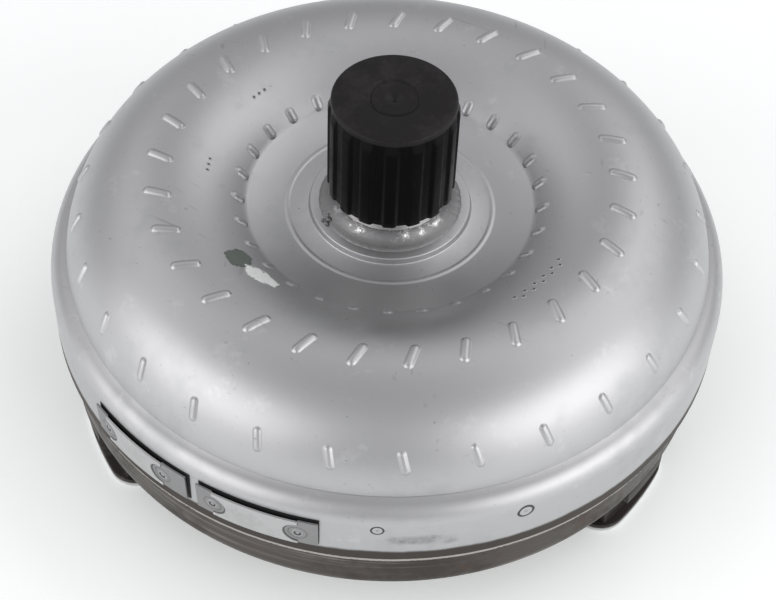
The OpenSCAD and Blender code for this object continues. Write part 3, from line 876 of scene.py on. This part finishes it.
class CONVERTER_OT_cover(bpy.types.Operator):
    """Spin the front cover from its section"""

    bl_idname = "converter.cover"
    bl_label = "Front Cover"

    def execute(self, context):
        corner_r = COVER_R - COVER_CORNER_RHO
        spigot_r = 0.0141
        outline = [(spigot_r, COVER_LOW_Z)]
        dish_edge = [(0.03, COVER_LOW_Z), (COVER_FLAT_R, COVER_LOW_Z), (corner_r - 0.004, 0.0212)]
        outline += rounded(dish_edge, 0.003, 5)
        outline += arc(corner_r, COVER_CORNER_Z, COVER_CORNER_RHO, -96, 0, 14)
        outline += [(COVER_R, 0.038), (COVER_R, 0.045), (COVER_R, COVER_TOP_Z)]
        outline += [(COVER_R - COVER_T, COVER_TOP_Z)]
        outline += arc(corner_r, COVER_CORNER_Z, COVER_CORNER_RHO - COVER_T, 0, -90, 6)
        outline += [(COVER_FLAT_R - 0.001, COVER_LOW_Z + COVER_T), (spigot_r, COVER_LOW_Z + COVER_T)]
        bm = lathe(outline, 240)
        finish_piece(
            bm, "front_cover_pressing", MATERIALS["cover_steel"], "casing",
            replaces=["front_cover"], sharp=28,
        )
        return {"FINISHED"}


class CONVERTER_OT_welds(bpy.types.Operator):
    """Lay the rim weld and the hub weld as rippled beads"""

    bl_idname = "converter.welds"
    bl_label = "Weld Beads"

    def bead(self, section, steps, pitch, depth, seed):
        """A ring of the section whose crown ripples along its length and wanders a little."""
        bm = lathe(section, steps)
        for vert in bm.verts:
            turn = math.atan2(vert.co.y, vert.co.x)
            r = math.hypot(vert.co.x, vert.co.y)
            base = min(radius for radius, _ in section)
            crown = (r - base) / (max(radius for radius, _ in section) - base)
            wave = abs(math.sin(turn * r / pitch * math.pi + ripple(vert.co, 40, seed)))
            lift = (wave - 0.7) * depth + ripple(vert.co, 160, seed + 5) * depth * 0.8
            r += crown * min(lift, 0.0)
            vert.co = ring_point(r, turn, vert.co.z + crown * lift * 0.3)
        return bm

    def execute(self, context):
        rim = [(COVER_R + 0.0001, WALL_FOOT_Z - 0.0042)]
        rim += arc(COVER_R + 0.0002, WALL_FOOT_Z - 0.0013, 0.0029, -78, 24, 7)
        rim += [(COVER_R + 0.0001, WALL_FOOT_Z - 0.0001)]
        finish_piece(
            self.bead(rim, 720, 0.0022, 0.0005, 3.1), "rim_weld", MATERIALS["weld_steel"],
            "casing", replaces=["rim_weld_bead"], sharp=80,
        )
        hub = [(NECK_R, BEAD_LOW_Z - 0.0003), (NECK_R + 0.0064, BEAD_LOW_Z - 0.0001)]
        hub += arc(NECK_R + 0.0075, BEAD_LOW_Z + 0.0083, 0.0080, 258, 196, 9)
        hub += [(NECK_R, BEAD_LOW_Z + 0.0062)]
        finish_piece(
            self.bead(hub, 300, 0.0041, 0.00025, 8.4), "hub_weld", MATERIALS["ground_weld"],
            "casing", replaces=["hub_weld_bead"], sharp=80,
        )
        return {"FINISHED"}


# Degrees round the axis: the strips' spot welds, and where each strip starts and ends
PIPS = {"left": (-138.4, -125.7), "right": (-116.1, -101.9)}
STRIPS = {"left": (-141.4, -121.0), "right": (-119.0, -98.7)}
PIP_Z = 0.0648
STRIP_T = 0.0008


def pip_reach(side, turn, z):
    """Distance along the strip from its nearest spot weld."""
    return min(math.hypot(math.radians(turn - pip) * RIM_R, z - PIP_Z) for pip in PIPS[side])


def strip_stand(side, turn, z):
    """How far a strip's inner face stands off the wall: more at its top, less round the spot welds."""
    up = (z - STRIP_LOW_Z) / (STRIP_TOP_Z - STRIP_LOW_Z)
    between = PIPS[side][0] < turn < PIPS[side][1]
    step = eased((pip_reach(side, turn, z) - 0.0056) / 0.0006) if between else 0.0
    return 0.0001 + 0.0008 * up + 0.0006 * step


class CONVERTER_OT_weights(bpy.types.Operator):
    """Form the two balance strips, pressed back round their spot welds"""

    bl_idname = "converter.weights"
    bl_label = "Balance Weights"

    def strip(self, side):
        start, end = STRIPS[side]
        low, top = STRIP_LOW_Z + 0.0001, STRIP_TOP_Z - 0.0001
        bm = bmesh.new()
        bmesh.ops.create_grid(bm, x_segments=150, y_segments=46, size=0.5)
        mark = bm.verts.layers.float.new("reach")
        for vert in bm.verts:
            turn = start + (end - start) * (vert.co.x + 0.5)
            z = low + (top - low) * (vert.co.y + 0.5)
            between = PIPS[side][0] < turn < PIPS[side][1]
            vert[mark] = pip_reach(side, turn, z) if between else min(pip_reach(side, turn, z), 0.0048)
            vert.co = ring_point(RIM_R + strip_stand(side, turn, z) + STRIP_T, math.radians(turn), z)
        bm.normal_update()
        bm.faces.ensure_lookup_table()
        middle = bm.faces[len(bm.faces) // 2]
        if middle.normal.dot(middle.calc_center_median()) < 0:
            bmesh.ops.reverse_faces(bm, faces=bm.faces)
        skin = bmesh.ops.extrude_face_region(bm, geom=bm.faces)
        for vert in (v for v in skin["geom"] if isinstance(v, bmesh.types.BMVert)):
            r = math.hypot(vert.co.x, vert.co.y)
            vert.co.xy *= (r - STRIP_T) / r
        bmesh.ops.recalc_face_normals(bm, faces=bm.faces)
        return bm

    def gap_shadow_sheet(self, side, past_end):
        """A near-black sheet on the wall, painted shadow for the gap between a strip and the wall, along its
        top and past its end.
        """
        start, end = STRIPS[side]
        bm = bmesh.new()
        bmesh.ops.create_grid(bm, x_segments=60, y_segments=6, size=0.5)
        for vert in bm.verts:
            angle = math.radians(start + 0.2 + (end + past_end - start - 0.2) * (vert.co.x + 0.5))
            z = STRIP_LOW_Z + 0.0005 + (STRIP_TOP_Z + 0.0006 - STRIP_LOW_Z) * (vert.co.y + 0.5)
            lift = 0.00012 * (1 - max(0.0, z - SHOULDER_Z) / 0.0007)
            vert.co = ring_point(RIM_R + lift, angle, z)
        bmesh.ops.recalc_face_normals(bm, faces=bm.faces)
        return bm

    def execute(self, context):
        for side, past_end in (("left", 0.55), ("right", 0.1)):
            finish_piece(
                self.strip(side), f"balance_strip_{side}", MATERIALS["weight_steel"], "casing",
                replaces=[f"balance_weight_{side}"], sharp=40,
            )
            # Behind each strip, a near-black sheet painted as the shadow in the gap
            finish_piece(
                self.gap_shadow_sheet(side, past_end), f"strip_gap_shadow_{side}", MATERIALS["gap_shadow_paint"], "casing",
            )
        return {"FINISHED"}


class CONVERTER_OT_spot_welds(bpy.types.Operator):
    """Set the spot-weld craters on the strips and the two rings on the wall"""

    bl_idname = "converter.spot_welds"
    bl_label = "Spot Welds"

    def crater(self, radius, burnt):
        """A shallow crater facing up at the origin; its burnt ring is the second material."""
        outline = [(radius, -0.0003), (radius * 0.94, 0.0001), (radius * 0.82, 0.00024)]
        outline += [(radius * 0.66, 0.00018), (radius * 0.52, -0.00001), (radius * 0.34, 0.00004)]
        outline += [(radius * 0.2, 0.0002), (0.00005, 0.00024)]
        bm = lathe(outline, 32, closed=False)
        for face in bm.faces:
            middle = face.calc_center_median().length / radius
            face.material_index = 1 if burnt[0] < middle < burnt[1] else 0
        return bm

    def execute(self, context):
        whole = bmesh.new()
        wide, narrow = (0.62, 1.1), (0.30, 0.62)
        spots = [(turn, PIP_Z, side, 0.0024, narrow) for side in PIPS for turn in PIPS[side]]
        spots += [(-89.7, 0.0714, None, 0.0031, wide), (-66.3, 0.0714, None, 0.0040, wide)]
        for turn, z, side, radius, burnt in spots:
            stand = strip_stand(side, turn, z) + STRIP_T if side else -0.00016
            spot = self.crater(radius, burnt)
            angle = math.radians(turn)
            tip = Matrix.Rotation(math.pi / 2, 4, "Y")
            place = Matrix.Rotation(angle, 4, "Z") @ Matrix.Translation((RIM_R + stand, 0, z)) @ tip
            join_into(whole, spot, lambda co, place=place: place @ co)
            spot.free()
        piece = finish_piece(
            whole, "spot_weld_craters", MATERIALS["crater_steel"], "casing", sharp=70
        )
        piece.data.materials.append(MATERIALS["burnt_ring"])
        return {"FINISHED"}


class CONVERTER_OT_lugs(bpy.types.Operator):
    """Round the edges of the lugs, their nuts, the pilot and the neck"""

    bl_idname = "converter.lugs"
    bl_label = "Lugs, Pilot and Neck"

    def execute(self, context):
        for node, name, slot, width in (
            ("mounting_lugs", "drive_plate_lugs", "lug_steel", 0.0007),
            ("lug_nuts", "lug_weld_nuts", "machined_steel", 0.0004),
            ("pilot_boss", "crank_pilot", "hub_steel", 0.0008),
            ("impeller_hub", "pump_neck", "hub_steel", 0.0005),
        ):
            bevelled_copy(node, name, MATERIALS[slot], "casing", width)
        return {"FINISHED"}


class CONVERTER_OT_cap(bpy.types.Operator):
    """Mould the ribbed shipping cap"""

    bl_idname = "converter.cap"
    bl_label = "Shipping Cap"

    def execute(self, context):
        s = sizes()
        inner_r = NECK_R + 0.00035
        skirt_r = CAP_R - s.rib_height
        rib_top_z = CAP_TOP_Z - 0.0034
        skirt = [(inner_r, CAP_LOW_Z), (skirt_r - 0.0003, CAP_LOW_Z), (skirt_r, CAP_LOW_Z + 0.0004)]
        rows = 16
        for i in range(1, rows + 1):
            skirt.append((skirt_r, CAP_LOW_Z + 0.0004 + (rib_top_z - CAP_LOW_Z) * i / rows))
        crown = arc(skirt_r - 0.0011, CAP_TOP_Z - 0.0011, 0.0011, 0, 90, 5)
        groove = [(0.0116, 0), (0.0111, 0.0001), (0.0106, 0.0007), (0.0098, 0.0009), (0.0092, 0.0004)]
        pip = [(0.0062, 0.0005), (0.0046, 0.0004), (0.0028, 0.0008), (0.0014, 0.0013), (0.00004, 0.0021)]
        crown += [(r, CAP_TOP_Z - depth) for r, depth in groove + pip]
        roof_z = CAP_TOP_Z - 0.0026
        inside = [(0.00004, roof_z), (inner_r - 0.0006, roof_z), (inner_r, roof_z - 0.0004)]
        bm = lathe(skirt + crown + inside, s.rib_count * 16)
        period = 2 * math.pi / s.rib_count
        for vert in bm.verts:
            r = math.hypot(vert.co.x, vert.co.y)
            z = vert.co.z
            if r < skirt_r - 0.0005 or z > rib_top_z:
                continue
            turn = math.atan2(vert.co.y, vert.co.x)
            off = abs((turn / period + 0.5) % 1 - 0.5) * 2
            fade = max(0.0, min(1.0, (rib_top_z - z) / 0.0012))
            grown = r + s.rib_height * eased((0.60 - off) / 0.14) * fade
            vert.co.x *= grown / r
            vert.co.y *= grown / r
        finish_piece(
            bm, "shipping_cap", MATERIALS["cap_plastic"], "cap",
            replaces=["transport_cap"], sharp=38,
        )
        return {"FINISHED"}


class CONVERTER_OT_marks(bpy.types.Operator):
    """Add the punch marks, the paint dab and the chalk smear on the shell"""

    bl_idname = "converter.marks"
    bl_label = "Inspection Marks"

    def punch_marks(self):
        """Plain round punch marks with a raised rim and a dark pit: one arc and two short rows."""
        whole = bmesh.new()
        rows = [(0.0800 + 0.0022 * (i % 2), -30.5 - 2.0 * i) for i in range(11)]
        rows += [(0.0770, 142.5 - 2.4 * i) for i in range(3)]
        rows += [(0.0770, 178.5 - 2.4 * i) for i in range(3)]
        for r, degrees in rows:
            outline = [(0.0011, -0.0002), (0.00102, 0.00005), (0.0008, 0.00016), (0.00062, 0.00008)]
            outline += [(0.0003, 0.00002), (0.00003, 0.00002)]
            mark = lathe(outline, 16, closed=False)
            for face in mark.faces:
                face.material_index = 1 if face.calc_center_median().xy.length < 0.00066 else 0
            along = inner_reach(r)
            turn = math.radians(degrees)
            join_into(
                whole, mark,
                lambda co, along=along, turn=turn, r=r: shell_point(along + co.x, turn + co.y / r, co.z),
            )
            mark.free()
        piece = finish_piece(
            whole, "punch_marks", MATERIALS["pressed_steel"], "casing", sharp=70
        )
        piece.data.materials.append(MATERIALS["punch_pit"])

    def dab(self, name, material, radius, degrees, long, wide, lean):
        """A thin oval film that follows the shell, with a 0 to 1 cover mask on its points."""
        bm = bmesh.new()
        bmesh.ops.create_grid(bm, x_segments=26, y_segments=18, size=1.0)
        mask = bm.verts.layers.float.new("cover")
        middle = inner_reach(radius)
        turn = math.radians(degrees)
        for vert in bm.verts:
            u, v = vert.co.x, vert.co.y
            vert[mask] = max(0.0, 1.15 - math.hypot(u, v))
            out, side = swung(u * long / 2, v * wide / 2, lean)
            vert.co = shell_point(middle + out, turn + side / radius, FILM_LIFT)
        finish_piece(bm, name, material, "casing")

    def wall_film(self):
        """A faint oily film on the wall between the strips and the right-hand ring mark."""
        bm = bmesh.new()
        bmesh.ops.create_grid(bm, x_segments=70, y_segments=14, size=1.0)
        mask = bm.verts.layers.float.new("cover")
        for vert in bm.verts:
            u, v = vert.co.x, vert.co.y
            vert[mask] = max(0.0, 1.0 - max(abs(u), abs(v)) ** 3)
            turn = math.radians(-82.5 + 11 * u)
            vert.co = ring_point(RIM_R + FILM_LIFT, turn, 0.0646 + 0.0074 * v)
        bmesh.ops.recalc_face_normals(bm, faces=bm.faces)
        finish_piece(bm, "wall_film", MATERIALS["oil_film"], "casing")

    def spatter(self):
        """Beads of weld spatter beside the hub."""
        whole = bmesh.new()
        beads = (
            (0.0290, -151, 0.0014),
            (0.0305, -148, 0.0009),
            (0.0282, -155, 0.0010),
            (0.0312, -153, 0.0007),
        )
        for r, degrees, size in beads:
            turn = math.radians(degrees)
            middle = ring_point(r, turn, BEAD_LOW_Z + size * 0.5)
            bead = bmesh.new()
            bmesh.ops.create_icosphere(bead, subdivisions=3, radius=size)
            for vert in bead.verts:
                vert.co *= 1 + 0.3 * ripple(vert.co, 900, degrees)
            join_into(whole, bead, lambda co, middle=middle: co + middle)
            bead.free()
        finish_piece(whole, "weld_spatter", MATERIALS["ground_weld"], "casing", sharp=80)

    def execute(self, context):
        self.punch_marks()
        self.spatter()
        self.wall_film()
        self.dab("paint_dab", MATERIALS["inspection_paint"], 0.0754, -142.9, 0.0175, 0.0150, math.radians(35))
        self.dab("chalk_mark", MATERIALS["chalk_smear"], 0.0738, -132.6, 0.0135, 0.024, math.radians(14))
        return {"FINISHED"}


class CONVERTER_OT_inner_finishes(bpy.types.Operator):
    """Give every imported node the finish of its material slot"""

    bl_idname = "converter.inner_finishes"
    bl_label = "Inner Finishes"

    def execute(self, context):
        for part in frame["record"]["subparts"]:
            mesh = NODES[part["node"]].data
            mesh.materials.clear()
            mesh.materials.append(MATERIALS[part["material_slot"]])
        return {"FINISHED"}


class CONVERTER_OT_stage(bpy.types.Operator):
    """Lay the floor, hang the soft boxes and place the camera"""

    bl_idname = "converter.stage"
    bl_label = "Stage"

    def floor(self):
        bm = bmesh.new()
        bmesh.ops.create_circle(bm, cap_ends=True, segments=96, radius=6.0)
        mesh = bpy.data.meshes.new("floor")
        bm.to_mesh(mesh)
        bm.free()
        floor = bpy.data.objects.new("floor", mesh)
        bpy.context.scene.collection.objects.link(floor)
        mesh.materials.append(MATERIALS["floor"])
        mesh.transform(Matrix.Translation((0, 0, CAD_LOW.z - 0.0002)))

    def soft_box(self, name, azimuth, elevation, distance, width, height, power):
        a, e = math.radians(azimuth), math.radians(elevation)
        towards = Vector((math.cos(a) * math.cos(e), math.sin(a) * math.cos(e), math.sin(e)))
        data = bpy.data.lights.new(name, "AREA")
        data.shape = "RECTANGLE"
        data.size, data.size_y, data.energy = width, height, power
        lamp = bpy.data.objects.new(name, data)
        bpy.context.scene.collection.objects.link(lamp)
        facing = towards.to_track_quat("Z", "Y").to_matrix().to_4x4()
        lamp.matrix_world = Matrix.Translation(towards * distance) @ facing

    def world(self):
        world = bpy.data.worlds.new("studio")
        bpy.context.scene.world = world
        world.use_nodes = True
        background = world.node_tree.nodes["Background"]
        background.inputs["Color"].default_value = (0.97, 0.98, 1.0, 1)
        background.inputs["Strength"].default_value = 0.45

    def camera(self):
        data = bpy.data.cameras.new("camera")
        data.sensor_width = 36.0
        data.lens = LENS
        data.shift_x, data.shift_y = 0.0024, -0.0137
        elevation, roll = math.radians(ELEVATION), math.radians(ROLL)
        back = Vector((0, -math.cos(elevation), math.sin(elevation)))
        level_up = Vector((0, math.sin(elevation), math.cos(elevation)))
        right = math.cos(roll) * Vector((1, 0, 0)) + math.sin(roll) * level_up
        up = math.cos(roll) * level_up - math.sin(roll) * Vector((1, 0, 0))
        turn = Matrix((right, up, back)).transposed().to_4x4()
        camera = bpy.data.objects.new("camera", data)
        bpy.context.scene.collection.objects.link(camera)
        camera.matrix_world = Matrix.Translation(Vector((0, 0, AIM_Z)) + back * CAMERA_REACH) @ turn
        data.clip_start, data.clip_end = 0.01, 50.0
        bpy.context.scene.camera = camera

    def execute(self, context):
        self.floor()
        self.soft_box("soft_box_left", -148, 27, 1.5, 1.6, 1.0, 10.1)
        self.soft_box("soft_box_right", -31, 25, 1.5, 1.5, 1.0, 10.9)
        self.soft_box("soft_box_back_right", 35, 50, 1.8, 1.6, 1.2, 6.7)
        self.soft_box("soft_box_back_left", 145, 50, 1.8, 1.4, 1.2, 3.3)
        self.world()
        self.camera()
        bpy.context.scene.view_settings.view_transform = "Standard"
        return {"FINISHED"}


class CONVERTER_PT_panel(bpy.types.Panel):
    """Lists the pieces, in the order that they are made"""

    bl_label = "Torque Converter"
    bl_idname = "CONVERTER_PT_panel"
    bl_space_type = "VIEW_3D"
    bl_region_type = "UI"
    bl_category = "Converter"

    def draw(self, context):
        layout = self.layout
        for settings in (context.scene.converter_sizes, context.scene.converter_looks):
            box = layout.box()
            for name in settings.__annotations__:
                box.prop(settings, name)
        for step in STEPS:
            layout.operator(step.bl_idname)


STEPS = (
    CONVERTER_OT_stage,
    CONVERTER_OT_shell,
    CONVERTER_OT_dimples,
    CONVERTER_OT_cover,
    CONVERTER_OT_welds,
    CONVERTER_OT_weights,
    CONVERTER_OT_spot_welds,
    CONVERTER_OT_lugs,
    CONVERTER_OT_cap,
    CONVERTER_OT_marks,
    CONVERTER_OT_inner_finishes,
)
CLASSES = (ConverterSizes, ConverterLooks) + STEPS + (CONVERTER_PT_panel,)


def register():
    for cls in CLASSES:
        bpy.utils.register_class(cls)
    bpy.types.Scene.converter_sizes = PointerProperty(type=ConverterSizes)
    bpy.types.Scene.converter_looks = PointerProperty(type=ConverterLooks)


def unregister():
    del bpy.types.Scene.converter_looks
    del bpy.types.Scene.converter_sizes
    for cls in reversed(CLASSES):
        bpy.utils.unregister_class(cls)


def main():
    register()
    make_groups()
    make_materials()
    for step in STEPS:
        group, name = step.bl_idname.split(".")
        getattr(getattr(bpy.ops, group), name)()


if __name__ == "__main__":
    main()
